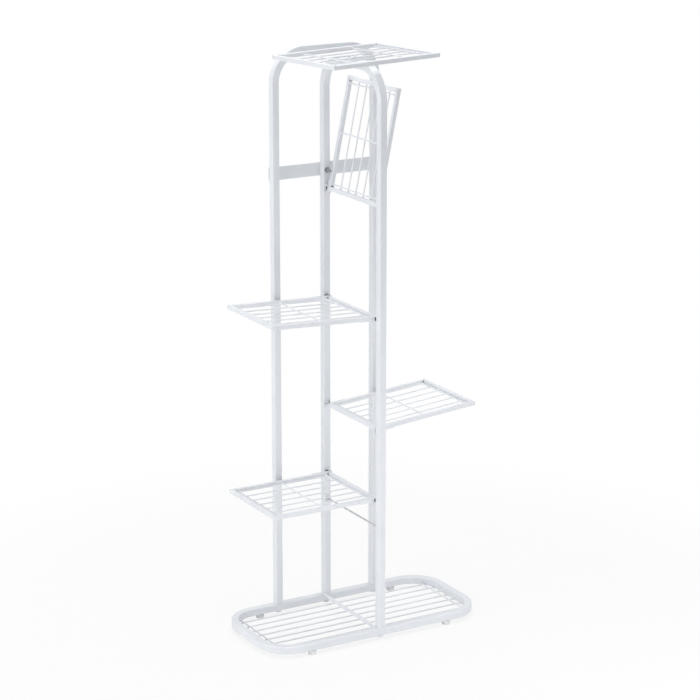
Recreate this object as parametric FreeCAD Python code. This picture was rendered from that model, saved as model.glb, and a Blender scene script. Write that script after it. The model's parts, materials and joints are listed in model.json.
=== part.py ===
# A free-standing plant shelf of white steel: two bent-tube arches stand square to each other on a ring
# base, and carry a top shelf and four side shelves that fold up on hinge rods.
# Millimetres. +X runs along the base, +Y to the back, +Z up. The origin is on the floor, under the middle
# of the base.
import FreeCAD, Part
import math
import os

os.makedirs("parts", exist_ok=True)

# Square tube of the ring and of both arches
tube = 13.0
tube_wall = 1.2
tube_corner = 2.0
bend_radius = 52.0

# Base
base_length = 409.5
foot_height = 7.0
foot_diameter = 14.0
foot_edge = 1.5
foot_spacing = 260.0
foot_stem_diameter = 6.0
foot_stem_length = 5.0
base_wire_count = 7
base_wire_lift = 1.0
base_cross_inset = 14.0

# Arches: distance between the middles of the legs, and height of the outer top
rear_span = 189.0
middle_span = 183.0
middle_top = 961.5
rear_rise = 14.0
bow_skirt = 15.0
sleeve_length = 28.0
sleeve_wall = 1.5

# Strap, rods and their places
strap_height = 22.0
strap_thickness = 3.0
strap_level = 767.0
tie_rod_diameter = 3.0
tie_rod_level = 195.0
tie_rod_reach = 3.0
foot_rod_diameter = 4.0

# Rails and wires of the shelves
rail = 7.0
rail_wall = 1.0
rail_corner = 1.0
rail_inner_corner = 0.5
wire = 2.5
wire_sink = 0.3
shelf_wire_count = 5
shelf_gap = 5.75
shelf_reach = 189.0
cross_inset = 5.0

# Side shelves: height of the hinge, and the angle above level at which each one is left
upper_right_level = 736.5
upper_right_angle = 78.5
upper_left_level = 551.0
upper_left_angle = 2.5
lower_right_level = 363.0
lower_right_angle = 4.8
lower_left_level = 242.0
lower_left_angle = 0.0

# Hinges of the side shelves. Each rod is off the middle of the legs, towards its shelf. The leaf's tail
# comes up against the stop pin at level, and its arm does when the shelf is folded up.
hinge_offset = 2.3
hinge_rod_diameter = 4.0
hinge_rod_end = 1.5
leaf_height = 7.0
leaf_arm = 30.0
leaf_tail = 8.0
leaf_corner = 1.0
leaf_thickness = 2.5
spacer_diameter = 8.0
stop_pin_diameter = 3.0
stop_pin_tail = 1.0
fold_limit = 80.0

# Top shelf and its plate, on one bolt
top_shelf_length = 219.0
top_shelf_angle = 10.0
top_back_room = 16.5
top_bolt_offset = 9.0
plate_length = 40.0
plate_margin = 4.0
plate_thickness = 2.0

# Fasteners
bolt_diameter = 6.0
bolt_head_diameter = 10.5
bolt_head_height = 3.0
bolt_head_round = 1.2
socket_across = 4.0
socket_depth = 1.8
nut_height = 5.0
small_bolt_diameter = 5.0
small_nut_across = 8.0
small_nut_height = 3.0
bolt_end = 0.8
strap_bolt_end = 7.0
plug_height = 14.0
plug_thread_spare = 2.0

# Clearances, and the overrun of every cut
running_clearance = 0.05
fixed_clearance = 0.02
bolt_clearance = 0.25
side_clearance = 0.1
stop_clearance = 0.3
overrun = 2.0

# Sizes that follow from the ones above
ring_top = foot_height + tube
ring_axis_height = foot_height + tube / 2
back_row = middle_span / 2
leg_face = middle_span / 2 - tube / 2
back_face = middle_span / 2 + tube / 2
leg_places = [(-rear_span / 2, back_row), (rear_span / 2, back_row), (0, back_row), (0, -back_row)]
foot_places = [(x, y) for x in (-foot_spacing / 2, foot_spacing / 2) for y in (-back_row, back_row)]
stop_pin_rise = leaf_height / 2 + stop_clearance + stop_pin_diameter / 2
stop_pin_offset = stop_pin_rise * math.tan(math.radians(fold_limit / 2)) - hinge_offset
rear_top = middle_top + rear_rise
shelf_width = 2 * (leg_face - shelf_gap)
nut_across = tube - 2 * tube_corner - 2 * fixed_clearance
top_shelf_base = middle_top + side_clearance + plate_thickness
top_shelf_width = 2 * (leg_face - top_back_room + top_bolt_offset)

# Each side shelf: its name, +1 for right or -1 for left, its level and its angle
side_shelves = [
    ("upper_right", 1, upper_right_level, upper_right_angle),
    ("upper_left", -1, upper_left_level, upper_left_angle),
    ("lower_right", 1, lower_right_level, lower_right_angle),
    ("lower_left", -1, lower_left_level, lower_left_angle),
]

ORIGIN = FreeCAD.Vector(0, 0, 0)
X_AXIS = FreeCAD.Vector(1, 0, 0)
Y_AXIS = FreeCAD.Vector(0, 1, 0)
Z_AXIS = FreeCAD.Vector(0, 0, 1)


def point(x, y, z):
    return FreeCAD.Vector(x, y, z)


def rod(diameter, start, end):
    """A round bar from one point to another."""
    run = end - start
    return Part.makeCylinder(diameter / 2, run.Length, start, run)


def pipe_ring(outer, inner, start, end):
    """A round sleeve from one point to another."""
    along = (end - start).normalize()
    bore = rod(inner, start - along * overrun, end + along * overrun)
    return rod(outer, start, end).cut(bore)


def block(low, high):
    """A plain box between two corners."""
    size = high - low
    return Part.makeBox(size.x, size.y, size.z, low)


def join(shapes):
    """One solid of several that meet."""
    return shapes[0].multiFuse(shapes[1:]).removeSplitter()


def rounded_square(side, corner):
    """A square face with round corners, about the origin in the XY plane."""
    half = side / 2
    flat = half - corner
    edges = []
    for quarter in range(4):
        straight = Part.makeLine(point(half, -flat, 0), point(half, flat, 0))
        bend = Part.makeCircle(corner, point(flat, flat, 0), Z_AXIS, 0, 90)
        for edge in (straight, bend):
            edge.rotate(ORIGIN, Z_AXIS, 90 * quarter)
            edges.append(edge)
    return Part.Face(Part.Wire(edges))


def bent_path(points):
    """Straight runs from point to point, with a right-angled bend at each point between."""
    edges = []
    here = points[0]
    for before, corner, after in zip(points, points[1:], points[2:]):
        come = (corner - before).normalize()
        leave = (after - corner).normalize()
        bend_start = corner - come * bend_radius
        bend_end = corner + leave * bend_radius
        centre = bend_start + leave * bend_radius
        outward = (corner - centre).normalize()
        edges.append(Part.makeLine(here, bend_start))
        edges.append(Part.Arc(bend_start, centre + outward * bend_radius, bend_end).toShape())
        here = bend_end
    edges.append(Part.makeLine(here, points[-1]))
    return Part.Wire(edges)


def bent_tube(points):
    """Square tube along a bent path, hollow and open at its ends."""
    path = bent_path(points)
    along = points[1] - points[0]
    skins = []
    for side, corner in ((tube, tube_corner), (tube - 2 * tube_wall, tube_corner - tube_wall)):
        section = rounded_square(side, corner)
        section.Placement = FreeCAD.Placement(points[0], FreeCAD.Rotation(Z_AXIS, along))
        skins.append(path.makePipeShell([section.OuterWire], True, False))
    outer, inner = skins
    return outer.cut(inner)


def mitred_rail(length):
    """A hollow rail along +X with mitred ends, its outer side on y = 0 and its underside on z = 0."""
    skins = []
    for side, corner in ((rail, rail_corner), (rail - 2 * rail_wall, rail_inner_corner)):
        section = rounded_square(side, corner)
        section.rotate(ORIGIN, Y_AXIS, 90)
        section.translate(point(0, rail / 2, rail / 2))
        skins.append(section.extrude(X_AXIS * length))
    outer, inner = skins
    plan = [point(0, 0, 0), point(length, 0, 0), point(length - rail, rail, 0), point(rail, rail, 0)]
    keep = Part.Face(Part.makePolygon(plan + plan[:1])).extrude(Z_AXIS * rail)
    return outer.cut(inner).common(keep)


def frame_rails(low_x, high_x, low_y, high_y):
    """Four mitred rails round a rectangle, in the order front, +X end, back, -X end."""
    rails = []
    starts = [(low_x, low_y), (high_x, low_y), (high_x, high_y), (low_x, high_y)]
    lengths = [high_x - low_x, high_y - low_y] * 2
    for quarter, (start, length) in enumerate(zip(starts, lengths)):
        piece = mitred_rail(length)
        piece.rotate(ORIGIN, Z_AXIS, 90 * quarter)
        piece.translate(point(start[0], start[1], 0))
        rails.append(piece)
    return rails


def wire_rows(low_y, high_y, count):
    """The places of evenly spaced wires between two sides."""
    pitch = (high_y - low_y) / (count + 1)
    return [low_y + pitch * (number + 1) for number in range(count)]


def wire_grid(low_x, high_x, low_y, high_y, count, cross_places):
    """Long wires on z = 0, with cross wires welded on top of them."""
    long_level = wire / 2
    cross_level = long_level + wire - wire_sink
    wires = [rod(wire, point(low_x, y, long_level), point(high_x, y, long_level))
             for y in wire_rows(low_y, high_y, count)]
    wires += [rod(wire, point(x, low_y, cross_level), point(x, high_y, cross_level)) for x in cross_places]
    return join(wires)


def hexagon(across, height):
    """A six-sided prism on z = 0, about the Z axis."""
    radius = across / 2 / math.cos(math.radians(30))
    turns = [math.radians(60 * number) for number in range(6)]
    corners = [point(radius * math.cos(turn), radius * math.sin(turn), 0) for turn in turns]
    return Part.Face(Part.makePolygon(corners + corners[:1])).extrude(Z_AXIS * height)


def bolt(diameter, length):
    """A button-headed bolt along +Z: its shank starts on z = 0, and its head hangs below."""
    head = Part.makeCylinder(bolt_head_diameter / 2, bolt_head_height, point(0, 0, -bolt_head_height))
    outer_edge = [edge for edge in head.Edges if edge.BoundBox.ZMax < -bolt_head_height / 2]
    head = head.makeFillet(bolt_head_round, outer_edge)
    socket = hexagon(socket_across, socket_depth + overrun)
    socket.translate(point(0, 0, -bolt_head_height - overrun))
    return join([head.cut(socket), Part.makeCylinder(diameter / 2, length)])


def nut(across, height, bore):
    """A hexagon nut on z = 0."""
    return hexagon(across, height).cut(rod(bore, point(0, 0, -overrun), point(0, 0, height + overrun)))


def turned(shape, axis, angle, place):
    """A copy of a shape, turned about the origin and then moved."""
    copy = shape.copy()
    copy.rotate(ORIGIN, axis, angle)
    copy.translate(place)
    return copy


def export(name, shapes):
    """Write one node, as a solid or as a group of separate solids."""
    shape = shapes if isinstance(shapes, Part.Shape) else Part.makeCompound(shapes)
    shape.exportStep("parts/" + name + ".step")
    print(name, "solids", len(shape.Solids), "valid", shape.isValid(), "volume", round(shape.Volume, 1))


def base_ring():
    """The ring, drilled for the leg bolts and the stems of the feet."""
    end_x = base_length / 2 - tube / 2
    corners = [(end_x, -back_row), (end_x, back_row), (-end_x, back_row), (-end_x, -back_row)]
    start = point(0, -back_row, ring_axis_height)
    ring = bent_tube([start] + [point(x, y, ring_axis_height) for x, y in corners] + [start])
    bolt_hole = bolt_diameter + 2 * bolt_clearance
    stem_hole = foot_stem_diameter + 2 * fixed_clearance
    holes = [rod(bolt_hole, point(x, y, foot_height - overrun), point(x, y, ring_top + overrun))
             for x, y in leg_places]
    stem_top = foot_height + tube_wall + overrun
    holes += [rod(stem_hole, point(x, y, foot_height - overrun), point(x, y, stem_top))
              for x, y in foot_places]
    return ring.cut(Part.makeCompound(holes))


def base_feet():
    """Round plastic feet with stems in the ring's underside."""
    foot = Part.makeCylinder(foot_diameter / 2, foot_height)
    lower_edge = [edge for edge in foot.Edges if edge.BoundBox.ZMax < foot_height / 2]
    foot = foot.makeFillet(foot_edge, lower_edge)
    stem = rod(foot_stem_diameter, point(0, 0, foot_height), point(0, 0, foot_height + foot_stem_length))
    foot = join([foot, stem])
    return [turned(foot, Z_AXIS, 0, point(x, y, 0)) for x, y in foot_places]


def base_grid():
    """The wire floor of the ring, its wire ends trimmed to the ring's inner wall."""
    inner_x = base_length / 2 - tube
    inner_y = leg_face
    end_cross = inner_x - base_cross_inset
    crosses = (-end_cross, 0, end_cross)
    grid = wire_grid(-inner_x, inner_x, -inner_y, inner_y, base_wire_count, crosses)
    room = block(point(-inner_x, -inner_y, -overrun), point(inner_x, inner_y, tube))
    upright = [edge for edge in room.Edges if edge.BoundBox.ZLength > tube]
    room = room.makeFillet(bend_radius - tube / 2, upright)
    grid = grid.common(room)
    grid.translate(point(0, 0, foot_height + base_wire_lift))
    return grid


def leg_bolts():
    """Bolts from under the ring into the plugs of the four legs."""
    piece = bolt(bolt_diameter, tube + plug_height - plug_thread_spare)
    return [turned(piece, Z_AXIS, 0, point(x, y, foot_height)) for x, y in leg_places]


def leg_plugs():
    """Threaded plugs in the feet of the four legs."""
    side = tube - 2 * tube_wall - 2 * fixed_clearance
    plug = rounded_square(side, tube_corner - tube_wall).extrude(Z_AXIS * plug_height)
    thread = bolt_diameter + 2 * fixed_clearance
    plug = plug.cut(rod(thread, point(0, 0, -overrun), point(0, 0, plug_height + overrun)))
    return [turned(plug, Z_AXIS, 0, point(x, y, ring_top)) for x, y in leg_places]


def arch(near, far, top):
    """An arch over two leg places, in the pieces it is packed in: its bow, and the leg under each end."""
    bar_height = top - tube / 2
    seam = seam_level(top)
    corners = [(near, seam), (near, bar_height), (far, bar_height), (far, seam)]
    bow = bent_tube([point(*place, z) for place, z in corners])
    legs = [bent_tube([point(*place, ring_top), point(*place, seam)]) for place in (near, far)]
    return [bow] + legs


def seam_level(top):
    return top - tube / 2 - bend_radius - bow_skirt


def bow_sleeves():
    """Sleeves inside the tubes, half in each leg and half in the bow above it."""
    side = tube - 2 * tube_wall - 2 * fixed_clearance
    corner = tube_corner - tube_wall
    sleeve = rounded_square(side, corner).extrude(Z_AXIS * sleeve_length)
    bore = block(point(-side / 2 + sleeve_wall, -side / 2 + sleeve_wall, -overrun),
                 point(side / 2 - sleeve_wall, side / 2 - sleeve_wall, sleeve_length + overrun))
    sleeve = sleeve.cut(bore)
    sleeves = []
    for (x, y), top in zip(leg_places, (rear_top, rear_top, middle_top, middle_top)):
        sleeves.append(turned(sleeve, Z_AXIS, 0, point(x, y, seam_level(top) - sleeve_length / 2)))
    return sleeves


def middle_arch():
    """The arch from front to back, drilled for the hinge rods, stop pins, tie rod and bolts."""
    holes = []
    for side in (-1, 1):
        near = side * (leg_face - overrun)
        far = side * (leg_face + tube_wall + overrun)
        for name, hand, level, angle in side_shelves:
            hinge_hole = hinge_rod_diameter + 2 * running_clearance
            x = hand * hinge_offset
            holes.append(rod(hinge_hole, point(x, near, level), point(x, far, level)))
            pin_hole = stop_pin_diameter + 2 * fixed_clearance
            x = -hand * stop_pin_offset
            z = level + stop_pin_rise
            holes.append(rod(pin_hole, point(x, near, z), point(x, far, z)))
        tie_hole = tie_rod_diameter + 2 * fixed_clearance
        holes.append(rod(tie_hole, point(0, near, tie_rod_level), point(0, far, tie_rod_level)))
    strap_hole = small_bolt_diameter + 2 * bolt_clearance
    strap_start = point(0, leg_face - overrun, strap_level)
    holes.append(rod(strap_hole, strap_start, point(0, back_face + overrun, strap_level)))
    top_hole = bolt_diameter + 2 * bolt_clearance
    holes.append(rod(top_hole, point(0, 0, middle_top - tube / 2), point(0, 0, middle_top + overrun)))
    drill = Part.makeCompound(holes)
    return [piece.cut(drill) for piece in arch((0, -back_row), (0, back_row), middle_top)]


def rear_strap():
    """The flat bar behind the three back legs."""
    half = rear_span / 2 + tube / 2
    low = point(-half, back_face, strap_level - strap_height / 2)
    high = point(half, back_face + strap_thickness, strap_level + strap_height / 2)
    hole = rod(small_bolt_diameter + 2 * bolt_clearance, point(0, back_face - overrun, strap_level),
               point(0, back_face + strap_thickness + overrun, strap_level))
    return block(low, high).cut(hole)


def strap_bolt():
    """The bolt through the strap and the middle arch's back leg, from behind."""
    length = strap_thickness + tube + small_nut_height + strap_bolt_end
    piece = bolt(small_bolt_diameter, length)
    return turned(piece, X_AXIS, 90, point(0, back_face + strap_thickness, strap_level))


def strap_nut():
    piece = nut(small_nut_across, small_nut_height, small_bolt_diameter + 2 * fixed_clearance)
    return turned(piece, X_AXIS, 90, point(0, leg_face, strap_level))


def tie_rod():
    """The rod that holds the middle arch's legs together below the side shelves."""
    end = leg_face + tube_wall + tie_rod_reach
    return rod(tie_rod_diameter, point(0, -end, tie_rod_level), point(0, end, tie_rod_level))


def tie_rod_nuts():
    piece = nut(small_nut_across, small_nut_height, tie_rod_diameter + 2 * fixed_clearance)
    return [turned(piece, X_AXIS, 90 * side, point(0, side * leg_face, tie_rod_level)) for side in (-1, 1)]


def foot_rod():
    """The rod that lies across the ring, against the left faces of the middle arch's legs."""
    x = -tube / 2 - foot_rod_diameter / 2
    z = ring_top + foot_rod_diameter / 2
    return rod(foot_rod_diameter, point(x, -back_row, z), point(x, back_row, z))


def stop_pins():
    """Pins in the legs' inner faces, one above the tail of each hinge leaf."""
    near = shelf_width / 2 + side_clearance
    far = leg_face + tube_wall + stop_pin_tail
    pins = []
    for name, hand, level, angle in side_shelves:
        x = -hand * stop_pin_offset
        z = level + stop_pin_rise
        for side in (-1, 1):
            pins.append(rod(stop_pin_diameter, point(x, side * near, z), point(x, side * far, z)))
    return pins


def side_shelf():
    """One side shelf, level, reaching to +X from a hinge on the Y axis: its pieces by name."""
    half = shelf_width / 2
    inner_end = -rail / 2
    inside = half - rail
    rails = frame_rails(inner_end, shelf_reach, -half, half)
    for piece in rails:
        piece.translate(point(0, 0, -rail / 2))
    rod_hole = hinge_rod_diameter + 2 * running_clearance
    drill_end = half + leaf_thickness + overrun
    drill = rod(rod_hole, point(0, -drill_end, 0), point(0, drill_end, 0))
    front, outer, back, inner = rails
    cross_places = [inner_end + rail + cross_inset, shelf_reach / 2, shelf_reach - rail - cross_inset]
    grid = wire_grid(inner_end + rail, shelf_reach - rail, -inside, inside, shelf_wire_count, cross_places)
    grid.translate(point(0, 0, -rail / 2))
    rod_end = leg_face + tube_wall + hinge_rod_end
    leaves = []
    spacers = []
    for side in (-1, 1):
        start = side * half
        end = side * (half + leaf_thickness)
        low_y, high_y = sorted((start, end))
        leaf = block(point(-leaf_tail, low_y, -leaf_height / 2), point(leaf_arm, high_y, leaf_height / 2))
        across = [edge for edge in leaf.Edges if edge.BoundBox.YLength > leaf_thickness / 2]
        leaves.append(leaf.makeFillet(leaf_corner, across).cut(drill))
        spacers.append(pipe_ring(spacer_diameter, rod_hole, point(0, end, 0),
                                 point(0, side * (leg_face - side_clearance), 0)))
    return {
        "front_rail": front.cut(drill),
        "back_rail": back.cut(drill),
        "inner_rail": inner,
        "outer_rail": outer,
        "wires": grid,
        "hinge_rod": rod(hinge_rod_diameter, point(0, -rod_end, 0), point(0, rod_end, 0)),
        "hinge_leaves": Part.makeCompound(leaves),
        "hinge_spacers": Part.makeCompound(spacers),
    }


def top_shelf():
    """The top shelf, square to the base, about its bolt on the Z axis: its pieces by name."""
    half_x = top_shelf_length / 2
    inside_x = half_x - rail
    low_y = -top_shelf_width / 2 - top_bolt_offset
    high_y = top_shelf_width / 2 - top_bolt_offset
    pitch = (top_shelf_width - 2 * rail) / (shelf_wire_count + 1)
    front, right, back, left = frame_rails(-half_x, half_x, low_y, high_y)
    crosses = (-inside_x + cross_inset, -inside_x / 2, inside_x / 2, inside_x - cross_inset)
    grid = wire_grid(-inside_x, inside_x, low_y + rail, high_y - rail, shelf_wire_count, crosses)
    plate_low = point(-plate_length / 2, -top_bolt_offset - plate_margin, -plate_thickness)
    plate_high = point(plate_length / 2, pitch - top_bolt_offset + plate_margin, 0)
    plate = block(plate_low, plate_high)
    plate_hole = bolt_diameter + 2 * running_clearance
    plate = plate.cut(rod(plate_hole, point(0, 0, -plate_thickness - overrun), point(0, 0, overrun)))
    return {"front_rail": front, "right_rail": right, "back_rail": back, "left_rail": left,
            "wires": grid, "plate": plate}


def top_shelf_bolt():
    """The one bolt that holds the top shelf, from above through the upper wall of the arch's bar."""
    grip = plate_thickness + 2 * side_clearance + tube_wall
    piece = bolt(bolt_diameter, grip + nut_height + bolt_end)
    return turned(piece, X_AXIS, 180, point(0, 0, middle_top + grip - tube_wall))


def top_shelf_nut():
    """The nut inside the bar, under its upper wall, with two flats along the bar."""
    piece = nut(nut_across, nut_height, bolt_diameter + 2 * fixed_clearance)
    return turned(piece, Z_AXIS, 30, point(0, 0, middle_top - tube_wall - nut_height))


# The stand
export("base_ring", base_ring())
export("base_grid", base_grid())
export("base_feet", base_feet())
export("leg_bolts", leg_bolts())
export("leg_plugs", leg_plugs())
rear_bow, rear_left_leg, rear_right_leg = arch(leg_places[0], leg_places[1], rear_top)
export("rear_bow", rear_bow)
export("rear_left_leg", rear_left_leg)
export("rear_right_leg", rear_right_leg)
middle_bow, middle_front_leg, middle_back_leg = middle_arch()
export("middle_bow", middle_bow)
export("middle_front_leg", middle_front_leg)
export("middle_back_leg", middle_back_leg)
export("bow_sleeves", bow_sleeves())
export("rear_strap", rear_strap())
export("strap_bolt", strap_bolt())
export("strap_nut", strap_nut())
export("tie_rod", tie_rod())
export("tie_rod_nuts", tie_rod_nuts())
export("foot_rod", foot_rod())
export("stop_pins", stop_pins())
export("top_shelf_bolt", top_shelf_bolt())
export("top_shelf_nut", top_shelf_nut())

# The top shelf, turned about its bolt
for piece_name, piece in top_shelf().items():
    export("top_" + piece_name, turned(piece, Z_AXIS, top_shelf_angle, point(0, 0, top_shelf_base)))

# The side shelves, each folded up by its angle, the left ones turned round to face left
swapped = {"front_rail": "back_rail", "back_rail": "front_rail"}
for shelf_name, hand, level, angle in side_shelves:
    for piece_name, piece in side_shelf().items():
        folded = turned(piece, Y_AXIS, -angle, ORIGIN)
        if hand < 0:
            folded = turned(folded, Z_AXIS, 180, ORIGIN)
            piece_name = swapped.get(piece_name, piece_name)
        hinge = point(hand * hinge_offset, 0, level)
        export(shelf_name + "_" + piece_name, turned(folded, Z_AXIS, 0, hinge))
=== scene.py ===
# %% [markdown]
# # A white steel plant shelf in a plain studio
#
# The CAD model gives every tube, rail, wire and bolt its real shape and place. This lesson adds what CAD
# leaves out: a powder coat with a fine orange-peel skin, dull zinc on the fasteners, the small welds that
# hold the wires and plates, and a bright studio.

# %% Load the CAD model
import json
import math

import bmesh
import bpy
from mathutils import Matrix, Vector


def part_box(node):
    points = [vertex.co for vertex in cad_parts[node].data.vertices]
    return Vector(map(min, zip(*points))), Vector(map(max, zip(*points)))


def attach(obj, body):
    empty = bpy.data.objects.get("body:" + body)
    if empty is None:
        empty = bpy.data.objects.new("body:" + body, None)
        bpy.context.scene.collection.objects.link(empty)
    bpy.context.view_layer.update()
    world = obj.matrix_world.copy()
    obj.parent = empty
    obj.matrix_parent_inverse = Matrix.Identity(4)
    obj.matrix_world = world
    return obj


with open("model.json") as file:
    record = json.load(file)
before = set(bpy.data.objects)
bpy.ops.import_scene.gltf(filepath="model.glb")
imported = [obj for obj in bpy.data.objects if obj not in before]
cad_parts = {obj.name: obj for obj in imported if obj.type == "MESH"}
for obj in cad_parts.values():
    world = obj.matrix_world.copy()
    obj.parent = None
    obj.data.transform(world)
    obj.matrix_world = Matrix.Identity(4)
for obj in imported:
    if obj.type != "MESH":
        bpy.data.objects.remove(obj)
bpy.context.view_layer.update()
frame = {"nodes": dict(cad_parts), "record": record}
nodes = frame["nodes"]
mm = 0.001

# %% [markdown]
# ## Camera
#
# The photograph is taken from the front left, a little above the top shelf, looking down by 15.5 degrees. A
# camera could be placed by eye, but then some edges always miss. The place, aim and lens here come from a
# fit of the shelf's corners and posts, so the edges of the render lie on those of the photograph.

# %% Camera
camera_place = Vector((-1.8916, -3.2517, 1.5225))
camera_turn = math.radians(-30.12)
camera_tilt = math.radians(-15.505)
lens_pixels = 2362.7
image_pixels = 700
sensor_width = 36.0

camera_data = bpy.data.cameras.new("camera")
camera_data.sensor_width = sensor_width
camera_data.lens = lens_pixels / image_pixels * sensor_width
camera = bpy.data.objects.new("camera", camera_data)
camera.location = camera_place
camera.rotation_euler = (math.radians(90) + camera_tilt, 0, camera_turn)
bpy.context.scene.collection.objects.link(camera)
bpy.context.scene.camera = camera
bpy.context.scene.view_settings.view_transform = "Standard"
print("lens", round(camera_data.lens, 1), "mm")

# %% [markdown]
# ## Floor and background
#
# A studio floor that fades into a white background could be a curved sweep. A flat floor is simpler: the
# camera sees part of it as plain white light and the rest as lit paint, so the feet keep their soft
# shadow. Far from the shelf it is white only, and so the edge of the floor can't be seen.

# %% Floor
floor_half = 8.0


def sees_background(tree):
    """A value of 1 for rays from the camera, from gloss and through glass."""
    path = tree.nodes.new("ShaderNodeLightPath")
    last = path.outputs["Is Camera Ray"]
    for name in ("Is Glossy Ray", "Is Transmission Ray"):
        pick = tree.nodes.new("ShaderNodeMath")
        pick.operation = "MAXIMUM"
        tree.links.new(last, pick.inputs[0])
        tree.links.new(path.outputs[name], pick.inputs[1])
        last = pick.outputs["Value"]
    return last


floor_mesh = bpy.data.meshes.new("floor")
floor_shape = bmesh.new()
bmesh.ops.create_grid(floor_shape, x_segments=1, y_segments=1, size=floor_half)
floor_shape.to_mesh(floor_mesh)
floor_shape.free()
floor = bpy.data.objects.new("floor", floor_mesh)
bpy.context.scene.collection.objects.link(floor)
print("floor", 2 * floor_half, "m wide")

# %% Floor paint
floor_colour = (0.92, 0.92, 0.92, 1)
floor_roughness = 0.9
floor_specular = 0.1
shadow_share = 0.2
shadow_reach = 0.5
fade_reach = 1.0

floor_paint = bpy.data.materials.new("floor_paint")
floor_paint.use_nodes = True
floor_tree = floor_paint.node_tree
floor_shader = floor_tree.nodes["Principled BSDF"]
floor_shader.inputs["Base Color"].default_value = floor_colour
floor_shader.inputs["Roughness"].default_value = floor_roughness
floor_shader.inputs["Specular IOR Level"].default_value = floor_specular
floor_white = floor_tree.nodes.new("ShaderNodeEmission")
floor_white.inputs["Strength"].default_value = 1.0
floor_place = floor_tree.nodes.new("ShaderNodeTexCoord")
floor_distance = floor_tree.nodes.new("ShaderNodeVectorMath")
floor_distance.operation = "LENGTH"
floor_fade = floor_tree.nodes.new("ShaderNodeMapRange")
floor_fade.interpolation_type = "SMOOTHSTEP"
floor_fade.inputs["From Min"].default_value = shadow_reach
floor_fade.inputs["From Max"].default_value = fade_reach
floor_fade.inputs["To Min"].default_value = 1 - shadow_share
floor_fade.inputs["To Max"].default_value = 1.0
floor_share = floor_tree.nodes.new("ShaderNodeMath")
floor_share.operation = "MULTIPLY"
floor_mix = floor_tree.nodes.new("ShaderNodeMixShader")
floor_tree.links.new(floor_place.outputs["Object"], floor_distance.inputs[0])
floor_tree.links.new(floor_distance.outputs["Value"], floor_fade.inputs["Value"])
floor_tree.links.new(floor_fade.outputs["Result"], floor_share.inputs[0])
floor_tree.links.new(sees_background(floor_tree), floor_share.inputs[1])
floor_tree.links.new(floor_share.outputs["Value"], floor_mix.inputs["Fac"])
floor_tree.links.new(floor_shader.outputs["BSDF"], floor_mix.inputs[1])
floor_tree.links.new(floor_white.outputs["Emission"], floor_mix.inputs[2])
floor_tree.links.new(floor_mix.outputs["Shader"], floor_tree.nodes["Material Output"].inputs["Surface"])
floor_mesh.materials.append(floor_paint)
print("floor paint keeps", shadow_share, "of its shadow")

# %% Background
soft_colour = (0.95, 0.97, 1.0, 1)
soft_strength = 0.35

world = bpy.data.worlds.new("studio")
bpy.context.scene.world = world
world.use_nodes = True
world_tree = world.node_tree
soft_light = world_tree.nodes["Background"]
soft_light.inputs["Color"].default_value = soft_colour
soft_light.inputs["Strength"].default_value = soft_strength
backdrop = world_tree.nodes.new("ShaderNodeBackground")
backdrop.inputs["Color"].default_value = (1, 1, 1, 1)
backdrop.inputs["Strength"].default_value = 1.0
mix_backgrounds = world_tree.nodes.new("ShaderNodeMixShader")
world_surface = world_tree.nodes["World Output"].inputs["Surface"]
world_tree.links.new(sees_background(world_tree), mix_backgrounds.inputs["Fac"])
world_tree.links.new(soft_light.outputs["Background"], mix_backgrounds.inputs[1])
world_tree.links.new(backdrop.outputs["Background"], mix_backgrounds.inputs[2])
world_tree.links.new(mix_backgrounds.outputs["Shader"], world_surface)
print("background white, soft light", soft_strength)

# %% [markdown]
# ## Lights
#
# In the photograph the left faces of the tubes are the brightest, and the front faces get brighter towards
# the floor. Small lamps would throw hard shadows, which it doesn't show, so all lights are wide panels: a
# tall one on the left, a large one overhead, and two weak ones in front, one of them near the floor. They
# are hidden from the camera, which may look at the shelf from any side.

# %% Lights
def add_panel(name, place, aim, width, height, watts):
    """A soft rectangular light that faces a point."""
    data = bpy.data.lights.new(name, "AREA")
    data.shape = "RECTANGLE"
    data.size = width
    data.size_y = height
    data.energy = watts
    panel = bpy.data.objects.new(name, data)
    panel.location = place
    panel.rotation_euler = (Vector(aim) - Vector(place)).to_track_quat("-Z", "Y").to_euler()
    panel.visible_camera = False
    bpy.context.scene.collection.objects.link(panel)
    return panel


shelf_middle = (0, 0, 0.5)
front_foot = (0, 0, 0.02)
panels = [
    add_panel("overhead", (0.2, 0.15, 3.6), shelf_middle, width=3.2, height=3.2, watts=80),
    add_panel("left_wall", (-3.2, -0.2, 1.0), shelf_middle, width=2.2, height=2.6, watts=47),
    add_panel("front_fill", (0.4, -4.2, 1.4), shelf_middle, width=2.4, height=2.0, watts=1),
    add_panel("front_low", (0.1, -0.95, 0.14), front_foot, width=1.4, height=0.25, watts=2.6),
]
print("lights", [panel.name for panel in panels])

# %% [markdown]
# ## Places on the shelves
#
# Every shelf is drawn level, about its own hinge or bolt, and then turned and lifted to its place. New
# pieces could be placed in the room's coordinates, but a shelf that lies at an angle makes that hard. The
# same steps as in the CAD model give one matrix for each shelf, and pieces are placed on the level shelf.

# %% Places on the shelves
rail = 7.0
wire = 2.5
cross_rise = 2.2
shelf_reach = 189.0
shelf_width = 158.5
hinge_offset = 2.3
top_level = 963.6
top_turn = math.radians(10)
side_shelves = {
    "upper_right": (1, 736.5, 78.5),
    "upper_left": (-1, 551.0, 2.5),
    "lower_right": (1, 363.0, 4.8),
    "lower_left": (-1, 242.0, 0.0),
}


def side_place(hand, level, angle):
    """From a level shelf about its hinge to the shelf's place on the stand."""
    fold = Matrix.Rotation(math.radians(-angle), 4, "Y")
    face = Matrix.Rotation(math.pi if hand < 0 else 0, 4, "Z")
    return Matrix.Translation((hand * hinge_offset * mm, 0, level * mm)) @ face @ fold


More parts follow.
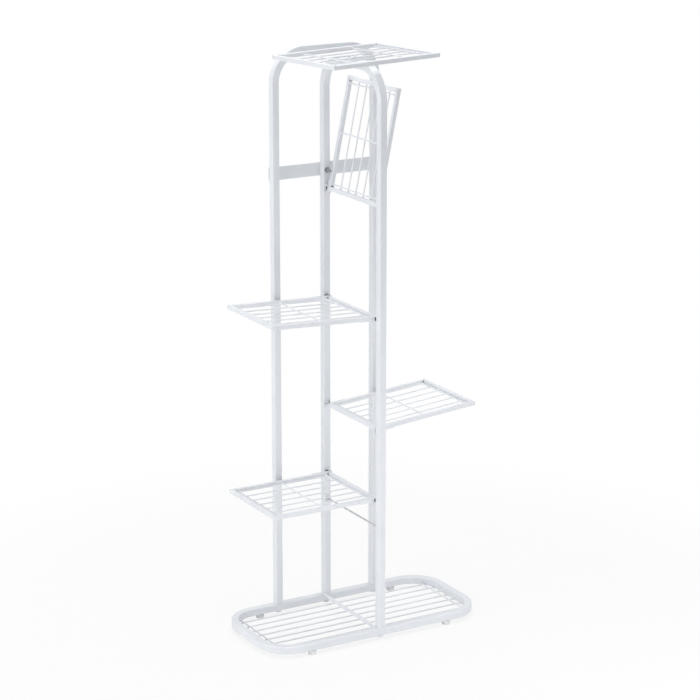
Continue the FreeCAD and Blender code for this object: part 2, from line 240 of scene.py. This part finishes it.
shelf_place = {name: side_place(*values) for name, values in side_shelves.items()}
shelf_place["top"] = Matrix.Translation((0, 0, top_level * mm)) @ Matrix.Rotation(top_turn, 4, "Z")
stand_place = Matrix.Identity(4)
print("shelves", sorted(shelf_place))

# %% [markdown]
# ## Wire welds
#
# Each wire ends against a rail or the ring in a small weld, which the powder coat rounds off. It is a
# flared collar: narrow where it lies on the wire, wide where it meets the wall. A cone would look turned,
# so the collar is spun from a short hollow-sided profile. There are more than a hundred, so it has few
# faces.

# %% A turned shape
merge_distance = 0.01 * mm


def spin_profile(profile, sides):
    """A closed shape turned about +Z, from pairs of a radius and a height in mm."""
    shape = bmesh.new()
    verts = [shape.verts.new((radius * mm, 0, height * mm)) for radius, height in profile]
    edges = [shape.edges.new(pair) for pair in zip(verts, verts[1:])]
    bmesh.ops.spin(shape, geom=verts + edges, cent=(0, 0, 0), axis=(0, 0, 1), angle=2 * math.pi,
                   steps=sides, use_merge=True, use_duplicate=False)
    bmesh.ops.remove_doubles(shape, verts=shape.verts[:], dist=merge_distance)
    bmesh.ops.recalc_face_normals(shape, faces=shape.faces[:])
    return shape


print("helper for turned shapes")

# %% A weld collar
collar_radius = 2.3
collar_height = 2.0
collar_sink = 0.4
collar_sides = 8
rim_height = 0.08 * collar_height
waist_height = 0.4 * collar_height
waist_radius = 1.3 * wire / 2
neck_radius = 1.02 * wire / 2
collar_profile = [
    (0, -collar_sink),
    (collar_radius, -collar_sink),
    (collar_radius, rim_height),
    (waist_radius, waist_height),
    (neck_radius, collar_height),
    (0, collar_height),
]
collar_shape = spin_profile(collar_profile, collar_sides)
collar = bpy.data.meshes.new("weld_collar")
collar_shape.to_mesh(collar)
collar_shape.free()
print("collar faces", len(collar.polygons))

# %% Pieces of many collars
def add_collar(shape, place, point, toward):
    """One collar at a wall, with the wire leaving it towards a direction."""
    turn = Vector(toward).to_track_quat("Z", "Y").to_matrix().to_4x4()
    count = len(shape.verts)
    shape.from_mesh(collar)
    shape.verts.ensure_lookup_table()
    matrix = place @ Matrix.Translation(Vector(point) * mm) @ turn
    bmesh.ops.transform(shape, matrix=matrix, verts=shape.verts[count:])


def add_grid_collars(shape, place, low, high, rows, crosses, level):
    """Collars at both ends of a grid's long wires and of its cross wires."""
    for y in rows:
        add_collar(shape, place, (low[0], y, level), (1, 0, 0))
        add_collar(shape, place, (high[0], y, level), (-1, 0, 0))
    for x in crosses:
        add_collar(shape, place, (x, low[1], level + cross_rise), (0, 1, 0))
        add_collar(shape, place, (x, high[1], level + cross_rise), (0, -1, 0))


def wire_rows(low, high, count):
    """Wires that divide a width into equal gaps."""
    return [low + (high - low) * (number + 1) / (count + 1) for number in range(count)]


print("helpers for collars")

# %% A finished piece
painted_pieces = []


def keep_piece(name, shape, body, smooth=True):
    """Make a piece of a finished shape and let it ride on its body."""
    mesh = bpy.data.meshes.new(name)
    shape.to_mesh(mesh)
    shape.free()
    piece = bpy.data.objects.new(name, mesh)
    bpy.context.scene.collection.objects.link(piece)
    for face in mesh.polygons:
        face.use_smooth = smooth
    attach(piece, body)
    return piece


print("helper for pieces")

# %% Collars on the side shelves
shelf_wire_count = 5
cross_inset = 5.0
inner_low = (rail / 2, rail - shelf_width / 2)
inner_high = (shelf_reach - rail, shelf_width / 2 - rail)
shelf_rows = wire_rows(inner_low[1], inner_high[1], shelf_wire_count)
shelf_crosses = (inner_low[0] + cross_inset, shelf_reach / 2, inner_high[0] - cross_inset)
shelf_wire_level = (wire - rail) / 2
for name in side_shelves:
    shape = bmesh.new()
    place = shelf_place[name]
    add_grid_collars(shape, place, inner_low, inner_high, shelf_rows, shelf_crosses, shelf_wire_level)
    painted_pieces.append(keep_piece(name + "_wire_welds", shape, name + "_shelf"))
print("side shelves", [len(piece.data.polygons) for piece in painted_pieces])

# %% Collars on the top shelf
top_half_length = 109.5
top_half_width = 77.5
top_centre = -9.0
top_low = (rail - top_half_length, top_centre + rail - top_half_width)
top_high = (top_half_length - rail, top_centre + top_half_width - rail)
top_rows = wire_rows(top_low[1], top_high[1], shelf_wire_count)
top_crosses = (top_low[0] + cross_inset, top_low[0] / 2, top_high[0] / 2, top_high[0] - cross_inset)
shape = bmesh.new()
add_grid_collars(shape, shelf_place["top"], top_low, top_high, top_rows, top_crosses, wire / 2)
painted_pieces.append(keep_piece("top_wire_welds", shape, "top_shelf"))
print("top shelf", len(painted_pieces[-1].data.polygons))

# %% [markdown]
# The base's wires end on the inside of the bent ring, so those near the corners are shorter. Their ends
# could be read off the CAD wires' meshes, but the ring is simple enough: a point on its inside follows from
# the bend's centre and radius.

# %% Collars on the base
tube = 13.0
inner_bend = 45.5
base_wire_count = 7
base_cross_inset = 14.0
base_wire_level = 9.25
ring_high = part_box("base_ring")[1]
ring_x = ring_high[0] / mm - tube
ring_y = ring_high[1] / mm - tube


def ring_inside(along, side, across):
    """How far the ring's inside is from the middle, at a distance along the other axis."""
    past_bend = max(abs(across) - (side - inner_bend), 0)
    return along - inner_bend + math.sqrt(inner_bend ** 2 - past_bend ** 2)


shape = bmesh.new()
for y in wire_rows(-ring_y, ring_y, base_wire_count):
    x = ring_inside(ring_x, ring_y, y)
    add_grid_collars(shape, stand_place, (-x, 0), (x, 0), (y,), (), base_wire_level)
for x in (base_cross_inset - ring_x, 0, ring_x - base_cross_inset):
    y = ring_inside(ring_y, ring_x, x)
    add_grid_collars(shape, stand_place, (0, -y), (0, y), (), (x,), base_wire_level)
painted_pieces.append(keep_piece("base_wire_welds", shape, "stand"))
print("base", len(painted_pieces[-1].data.polygons), "half sizes", round(ring_x, 2), round(ring_y, 2))

# %% [markdown]
# ## Weld beads
#
# The strap, the hinge leaves, the rod across the foot and the top shelf's plate are held by short fillet
# welds. A plain swept roll would look like a seal. A welder lays a bead in small ripples, so it is a row
# of flattened balls that overlap, sunk into the corner between the two pieces.

# %% Weld beads
ball_spacing = 0.85
ball_flatness = 0.8
ball_sides = 8
ball_rings = 5
swell_share = 0.08
swell_step = 2.4


def add_bead(shape, place, start, end, radius):
    """A rippled bead along a corner, from one point to another."""
    start = Vector(start)
    run = Vector(end) - start
    count = max(round(run.length / (radius * ball_spacing)), 2)
    flatten = Matrix.Diagonal((1, 1, ball_flatness, 1))
    turn = run.to_track_quat("Z", "Y").to_matrix().to_4x4() @ flatten
    for number in range(count):
        at = start + run * ((number + 0.5) / count)
        swell = 1 + swell_share * math.sin(swell_step * number)
        matrix = place @ Matrix.Translation(at * mm) @ turn
        bmesh.ops.create_uvsphere(shape, u_segments=ball_sides, v_segments=ball_rings,
                                  radius=radius * swell * mm, matrix=matrix)


print("helper for beads")

# %% Beads on the strap and the foot rod
rear_leg_half_span = 94.5
strap_bead = 1.5
strap_bead_half = 4.5
leg_half_span = 91.5
foot_rod_x = -8.5
foot_rod_half = 1.7
foot_bead = 1.1
foot_bead_run = 3.8
bead_lift = 0.2
strap_low, strap_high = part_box("rear_strap")
shape = bmesh.new()
for x in (-rear_leg_half_span, rear_leg_half_span):
    for z in (strap_low[2] / mm - bead_lift, strap_high[2] / mm + bead_lift):
        y = strap_low[1] / mm + bead_lift
        start = (x - strap_bead_half, y, z)
        add_bead(shape, stand_place, start, (x + strap_bead_half, y, z), strap_bead)
z = ring_high[2] / mm + bead_lift
for side in (-1, 1):
    for x in (foot_rod_x - foot_rod_half, foot_rod_x + foot_rod_half):
        start = (x, side * (leg_half_span - foot_bead_run), z)
        add_bead(shape, stand_place, start, (x, side * leg_half_span, z), foot_bead)
painted_pieces.append(keep_piece("stand_weld_beads", shape, "stand"))
print("strap and foot rod", len(painted_pieces[-1].data.polygons))

# %% Beads on the hinge leaves
leaf_end = 30.1
leaf_bead = 1.4
leaf_bead_half = 2.6
leaf_bead_lift = 0.15
for name in side_shelves:
    shape = bmesh.new()
    for y in (-shelf_width / 2 - leaf_bead_lift, shelf_width / 2 + leaf_bead_lift):
        start = (leaf_end, y, -leaf_bead_half)
        add_bead(shape, shelf_place[name], start, (leaf_end, y, leaf_bead_half), leaf_bead)
    painted_pieces.append(keep_piece(name + "_leaf_welds", shape, name + "_shelf"))
print("leaves", [len(piece.data.polygons) for piece in painted_pieces[-4:]])

# %% Beads on the top plate
plate_bead = 0.9
plate_bead_half = 3.5
plate_bead_x = 14.0
plate_bead_side = 1.3
plate_bead_lift = 0.1
plate_rows = top_rows[2:4]
shape = bmesh.new()
for row in plate_rows:
    for x in (-plate_bead_x, plate_bead_x):
        for y in (row - plate_bead_side, row + plate_bead_side):
            start = (x - plate_bead_half, y, plate_bead_lift)
            end = (x + plate_bead_half, y, plate_bead_lift)
            add_bead(shape, shelf_place["top"], start, end, plate_bead)
painted_pieces.append(keep_piece("top_plate_welds", shape, "top_shelf"))
print("plate", len(painted_pieces[-1].data.polygons))

# %% [markdown]
# ## Bolt thread
#
# The strap's bolt ends in front of the middle arch's back leg, and its bare thread is seen there. A true
# helix needs many faces for something so small. Rings of a fine saw-tooth profile look the same from any
# side.

# %% Bolt thread
thread_core = 2.3
thread_crest = 2.75
thread_pitch = 0.8
thread_sides = 20
thread_end_gap = 0.9
bolt_low, bolt_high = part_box("strap_bolt")
nut_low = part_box("strap_nut")[0]
thread_length = (nut_low[1] - bolt_low[1]) / mm - thread_end_gap
thread_turns = int(thread_length / thread_pitch)
thread_profile = [(0, 0), (thread_core, 0)]
for turn in range(thread_turns):
    thread_profile.append((thread_crest, (turn + 0.5) * thread_pitch))
    thread_profile.append((thread_core, (turn + 1) * thread_pitch))
thread_profile.append((0, thread_turns * thread_pitch))
shape = spin_profile(thread_profile, thread_sides)
bolt_axis = Vector(((bolt_low[0] + bolt_high[0]) / 2, nut_low[1], (bolt_low[2] + bolt_high[2]) / 2))
forward = Matrix.Rotation(math.radians(90), 4, "X")
bmesh.ops.transform(shape, matrix=Matrix.Translation(bolt_axis) @ forward, verts=shape.verts[:])
bolt_thread = keep_piece("strap_bolt_thread", shape, "stand", smooth=False)
print("thread turns", thread_turns, "length", round(thread_length, 2), "mm")

# %% [markdown]
# ## Surface group
#
# Powder coat has a fine orange-peel skin, hardly any change of tone and a gloss that is a little uneven.
# Zinc plate is mottled, and moulded plastic has a fine grain. They could each have their own nodes, but all
# three come from the same three noises on object coordinates, so one shader group makes them at different
# scales.

# %% Small helpers for nodes
def link_math(tree, operation, *values):
    """A math node with each input linked or set, and its output."""
    node = tree.nodes.new("ShaderNodeMath")
    node.operation = operation
    for socket, value in zip(node.inputs, values):
        if isinstance(value, (int, float)):
            socket.default_value = value
        else:
            tree.links.new(value, socket)
    return node.outputs["Value"]


def link_noise(tree, place, scale, detail):
    """A noise at a place, with its scale linked or set, and its output."""
    node = tree.nodes.new("ShaderNodeTexNoise")
    node.inputs["Detail"].default_value = detail
    tree.links.new(place, node.inputs["Vector"])
    if isinstance(scale, (int, float)):
        node.inputs["Scale"].default_value = scale
    else:
        tree.links.new(scale, node.inputs["Scale"])
    return node.outputs["Fac"]


def link_swing(tree, noise, share):
    """A factor near 1 that a noise, which mostly stays near 0.5, moves up and down by a share."""
    centred = link_math(tree, "MULTIPLY", link_math(tree, "SUBTRACT", noise, 0.5), 4.0)
    return link_math(tree, "ADD", 1.0, link_math(tree, "MULTIPLY", centred, share))


print("helpers for nodes")

# %% Surface group
cloud_detail = 3.0
fine_detail = 2.0
smear_scale = 4.0
gloss_swing = 0.2
grain_depth = 0.2 * mm


def make_skin_group():
    """A group that gives a mottled colour, an uneven roughness and a grained normal."""
    group = bpy.data.node_groups.new("sprayed_skin", "ShaderNodeTree")
    group.interface.new_socket("Colour", in_out="INPUT", socket_type="NodeSocketColor")
    for name in ("Roughness", "Grain", "Height", "Patch", "Mottle"):
        group.interface.new_socket(name, in_out="INPUT", socket_type="NodeSocketFloat")
    group.interface.new_socket("Colour", in_out="OUTPUT", socket_type="NodeSocketColor")
    group.interface.new_socket("Roughness", in_out="OUTPUT", socket_type="NodeSocketFloat")
    group.interface.new_socket("Normal", in_out="OUTPUT", socket_type="NodeSocketVector")
    entry = group.nodes.new("NodeGroupInput").outputs
    leave = group.nodes.new("NodeGroupOutput").inputs
    place = group.nodes.new("ShaderNodeTexCoord").outputs["Object"]
    cloud = link_noise(group, place, entry["Patch"], cloud_detail)
    shade = group.nodes.new("ShaderNodeVectorMath")
    shade.operation = "SCALE"
    group.links.new(entry["Colour"], shade.inputs[0])
    group.links.new(link_swing(group, cloud, entry["Mottle"]), shade.inputs["Scale"])
    group.links.new(shade.outputs["Vector"], leave["Colour"])
    smear_size = link_math(group, "MULTIPLY", entry["Patch"], smear_scale)
    smear = link_noise(group, place, smear_size, fine_detail)
    gloss = link_math(group, "MULTIPLY", entry["Roughness"], link_swing(group, smear, gloss_swing))
    group.links.new(gloss, leave["Roughness"])
    bump = group.nodes.new("ShaderNodeBump")
    bump.inputs["Distance"].default_value = grain_depth
    group.links.new(link_noise(group, place, entry["Grain"], fine_detail), bump.inputs["Height"])
    group.links.new(entry["Height"], bump.inputs["Strength"])
    group.links.new(bump.outputs["Normal"], leave["Normal"])
    return group


skin_group = make_skin_group()
print("group", skin_group.name)

# %% [markdown]
# ## Mitre seams and painted corner shade
#
# The rails of each shelf meet in mitres, and the photograph shows short dark marks in the corners,
# darkest on the left of the top shelf. A real gap would leave the rails loose, so the seam is only a dark
# line in the paint. A point lies on a mitre when it is as far from the shelf's end as from its side.
# Besides this seam line, the mark holds a painted shade: a dark spot at the inner corner, where the rails
# shade each other.

# %% Mitre seam and corner shade group
seam_core = 0.3 * mm
seam_edge = 0.7 * mm
seam_breaks = 350.0
# The spot is painted shade: the inner corner is darkened where the rails shade each other.
shade_spot_core = 0.55


def link_fade(tree, value, near, far):
    """A mask that is 1 below one value and 0 above another."""
    node = tree.nodes.new("ShaderNodeMapRange")
    node.inputs["From Min"].default_value = near
    node.inputs["From Max"].default_value = far
    node.inputs["To Min"].default_value = 1.0
    node.inputs["To Max"].default_value = 0.0
    tree.links.new(value, node.inputs["Value"])
    return node.outputs["Result"]


def make_seam_and_shade_group(rail_width):
    """A group that marks the mitres of a frame centred on the origin and paints shade into its inner
    corners.
    """
    group = bpy.data.node_groups.new("mitre_seam_and_corner_shade", "ShaderNodeTree")
    group.interface.new_socket("Place", in_out="INPUT", socket_type="NodeSocketVector")
    for name in ("Half Length", "Half Width", "Shade Spot", "Left", "Right"):
        group.interface.new_socket(name, in_out="INPUT", socket_type="NodeSocketFloat")
    group.interface.new_socket("Mask", in_out="OUTPUT", socket_type="NodeSocketFloat")
    entry = group.nodes.new("NodeGroupInput").outputs
    leave = group.nodes.new("NodeGroupOutput").inputs
    split = group.nodes.new("ShaderNodeSeparateXYZ")
    group.links.new(entry["Place"], split.inputs["Vector"])
    along = link_math(group, "ABSOLUTE", split.outputs["X"])
    across = link_math(group, "ABSOLUTE", split.outputs["Y"])
    from_end = link_math(group, "SUBTRACT", entry["Half Length"], along)
    from_side = link_math(group, "SUBTRACT", entry["Half Width"], across)
    off_line = link_math(group, "ABSOLUTE", link_math(group, "SUBTRACT", from_end, from_side))
    broken = link_noise(group, entry["Place"], seam_breaks, fine_detail)
    line = link_math(group, "MULTIPLY", link_fade(group, off_line, seam_core, seam_edge), broken)
    # Painted shade: a dark spot around the inner corner, added to the seam line.
    depth = link_math(group, "MINIMUM", from_end, from_side)
    to_inner = link_math(group, "ABSOLUTE", link_math(group, "SUBTRACT", depth, rail_width))
    reach = link_math(group, "DIVIDE", link_math(group, "ADD", to_inner, off_line), entry["Shade Spot"])
    seam_and_shade_mark = link_math(group, "MAXIMUM", line, link_fade(group, reach, shade_spot_core, 1.0))
    on_left = link_math(group, "LESS_THAN", split.outputs["X"], 0.0)
    on_right = link_math(group, "SUBTRACT", 1.0, on_left)
    strength = link_math(group, "ADD", link_math(group, "MULTIPLY", on_left, entry["Left"]),
                         link_math(group, "MULTIPLY", on_right, entry["Right"]))
    group.links.new(link_math(group, "MULTIPLY", seam_and_shade_mark, strength), leave["Mask"])
    return group


seam_and_shade_group = make_seam_and_shade_group(rail * mm)
print("group", seam_and_shade_group.name)

# %% [markdown]
# ## Materials
#
# The real stand is sprayed white after welding, its bolts are zinc plated, and its spacers and feet are
# moulded. Pictures of such surfaces could be wrapped on, but they would need to be unwrapped on every tube.
# Procedural finishes on object coordinates fit all pieces. Each finish in the record gets one material
# with its name. The strap's bolt is darker than the other zinc pieces in the photograph.

# %% Finishes
def make_finish(name, colour, roughness, metallic=0.0, grain=900.0, height=0.1, patch=14.0, mottle=0.03):
    """A sprayed, plated or moulded finish with the shared skin."""
    material = bpy.data.materials.new(name)
    material.use_nodes = True
    tree = material.node_tree
    shader = tree.nodes["Principled BSDF"]
    shader.inputs["Metallic"].default_value = metallic
    skin = tree.nodes.new("ShaderNodeGroup")
    skin.node_tree = skin_group
    skin.inputs["Colour"].default_value = (*colour, 1)
    values = {"Roughness": roughness, "Grain": grain, "Height": height, "Patch": patch, "Mottle": mottle}
    for socket, value in values.items():
        skin.inputs[socket].default_value = value
    tree.links.new(skin.outputs["Colour"], shader.inputs["Base Color"])
    tree.links.new(skin.outputs["Roughness"], shader.inputs["Roughness"])
    tree.links.new(skin.outputs["Normal"], shader.inputs["Normal"])
    return material


white = (0.81, 0.83, 0.86)
black = (0.02, 0.02, 0.022)
warm_white = (0.82, 0.82, 0.81)
zinc = (0.55, 0.56, 0.58)
dull_zinc = (0.30, 0.31, 0.33)
white_skin = {"roughness": 0.4, "height": 0.16}
black_skin = {"roughness": 0.5, "grain": 1200.0, "patch": 200.0, "mottle": 0.1}
plastic_skin = {"roughness": 0.45, "grain": 700.0, "patch": 60.0}
zinc_skin = {"roughness": 0.36, "metallic": 1.0, "grain": 1500.0, "height": 0.2, "patch": 350.0,
             "mottle": 0.14}
finishes = {
    "white_paint": make_finish("white_paint", white, **white_skin),
    "zinc_steel": make_finish("zinc_steel", zinc, **zinc_skin),
    "black_nylon": make_finish("black_nylon", black, **black_skin),
    "white_plastic": make_finish("white_plastic", warm_white, **plastic_skin),
}
print("finishes", sorted(finishes))

# %% Finishes on the pieces
node_finish = {part["node"]: part["material_slot"] for part in frame["record"]["subparts"]}
for name, node in nodes.items():
    node.data.materials.clear()
    node.data.materials.append(finishes[node_finish[name]])
for piece in painted_pieces:
    piece.data.materials.append(finishes["white_paint"])
dark_zinc = make_finish("dark_zinc", dull_zinc, **zinc_skin)
for name in ("strap_bolt", "strap_nut"):
    nodes[name].data.materials[0] = dark_zinc
bolt_thread.data.materials.append(dark_zinc)
print("pieces", {slot: sum(s == slot for s in node_finish.values()) for slot in finishes})

# %% [markdown]
# Only the rails have mitres, so the rails of each shelf get a copy of the white paint with that shelf's
# seams and painted corner shade. One paint for all would need every shelf's place at once. A Mapping node
# takes each point back to the level shelf, where the seams and the shade are easy to describe.

# %% Paint with mitre seams and painted corner shade
# One dark colour for the mitre seams and for the painted shade in the inner corners.
seam_and_shade_colour = (0.05, 0.05, 0.055)
mix_share = 0
mix_first = 6
mix_second = 7
mix_result = 2


def make_rail_paint(name, place, centre, marks):
    """White paint for the rails of one shelf, dark along its mitres and with painted shade in its inner
    corners.
    """
    material = make_finish("white_paint_" + name, white, **white_skin)
    tree = material.node_tree
    shader = tree.nodes["Principled BSDF"]
    paint = shader.inputs["Base Color"].links[0].from_socket
    where = tree.nodes.new("ShaderNodeTexCoord")
    level = tree.nodes.new("ShaderNodeMapping")
    to_shelf = Matrix.Translation(-Vector(centre) * mm) @ place.inverted()
    level.inputs["Rotation"].default_value = to_shelf.to_euler()
    level.inputs["Location"].default_value = to_shelf.to_translation()
    seam = tree.nodes.new("ShaderNodeGroup")
    seam.node_tree = seam_and_shade_group
    for socket, value in marks.items():
        seam.inputs[socket].default_value = value
    blend = tree.nodes.new("ShaderNodeMix")
    blend.data_type = "RGBA"
    blend.inputs[mix_second].default_value = (*seam_and_shade_colour, 1)
    tree.links.new(where.outputs["Object"], level.inputs["Vector"])
    tree.links.new(level.outputs["Vector"], seam.inputs["Place"])
    tree.links.new(seam.outputs["Mask"], blend.inputs[mix_share])
    tree.links.new(paint, blend.inputs[mix_first])
    tree.links.new(blend.outputs[mix_result], shader.inputs["Base Color"])
    return material


print("helper for rail paint")

# %% Rails with mitre seams and painted corner shade
top_middle = (0, top_centre, 0)
# The spot sizes set the painted shade in the inner corners; Left and Right scale both the seam and the
# shade.
top_marks = {
    "Half Length": top_half_length * mm,
    "Half Width": top_half_width * mm,
    "Shade Spot": 4.0 * mm,
    "Left": 1.0,
    "Right": 0.15,
}
side_middle = ((shelf_reach - rail / 2) / 2, 0, 0)
side_marks = {
    "Half Length": (shelf_reach + rail / 2) / 2 * mm,
    "Half Width": shelf_width / 2 * mm,
    "Shade Spot": 2.6 * mm,
    "Left": 0.45,
    "Right": 0.45,
}
for name, place in shelf_place.items():
    if name == "top":
        paint = make_rail_paint(name, place, top_middle, top_marks)
    else:
        paint = make_rail_paint(name, place, side_middle, side_marks)
    rails = [node for key, node in nodes.items() if key.startswith(name + "_") and key.endswith("_rail")]
    for node in rails:
        node.data.materials[0] = paint
    print(paint.name, len(rails), "rails")
